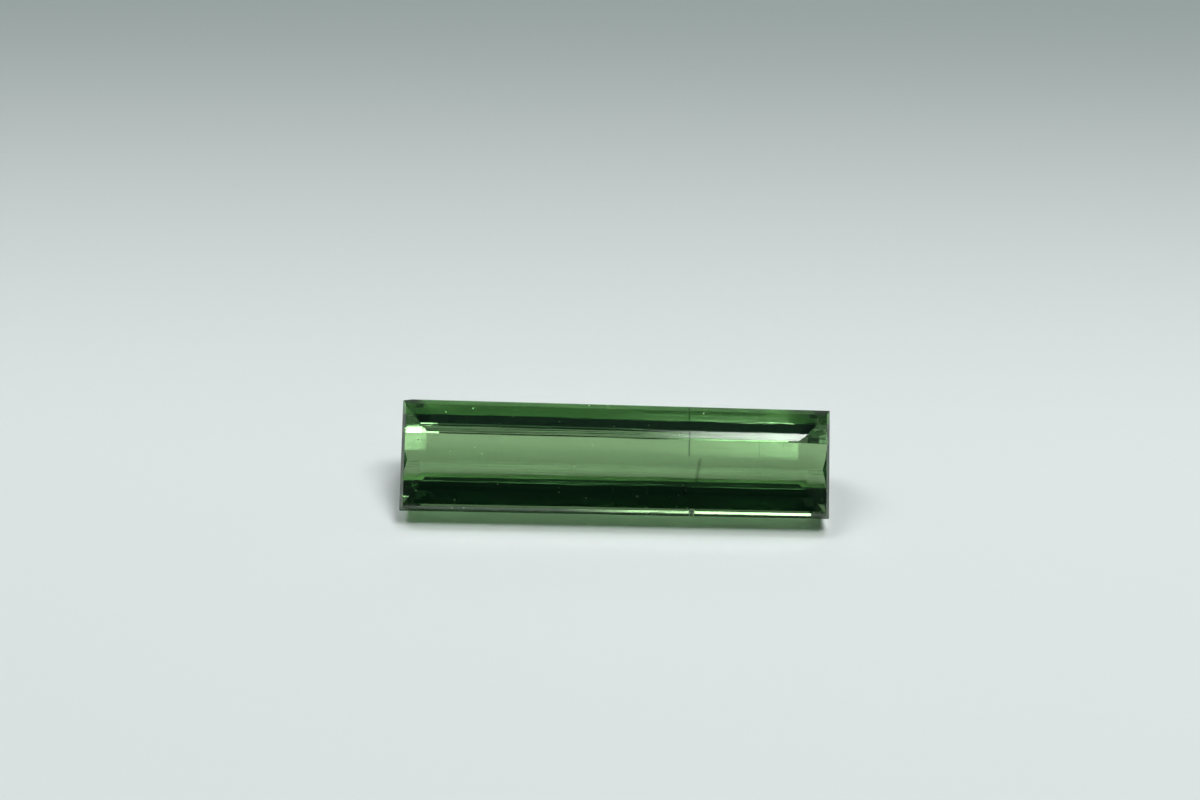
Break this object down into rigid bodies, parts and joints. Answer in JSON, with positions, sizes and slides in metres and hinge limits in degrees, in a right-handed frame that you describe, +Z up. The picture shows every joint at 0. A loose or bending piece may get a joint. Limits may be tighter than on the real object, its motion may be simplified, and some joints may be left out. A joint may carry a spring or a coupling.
{
  "type": "cut tourmaline gemstone",
  "caption": "Long rectangular step-cut green gemstone with square corners, a flat table, stepped crown and pavilion, and a keel, lying tipped forward on a pavilion facet.",
  "frame": {"origin": "on the surface that the stone lies on, under the middle of its box", "axes": "+X along the stone's length towards its narrower end, +Y from the low front girdle to the raised back girdle, +Z up"},
  "size_m": [0.02, 0.0044, 0.0043],
  "materials": {
    "tourmaline": "polished facets, clear green body"
  },
  "bodies": {
    "root": {"tourmaline_gem": "tourmaline"}
  },
  "joints": []
}
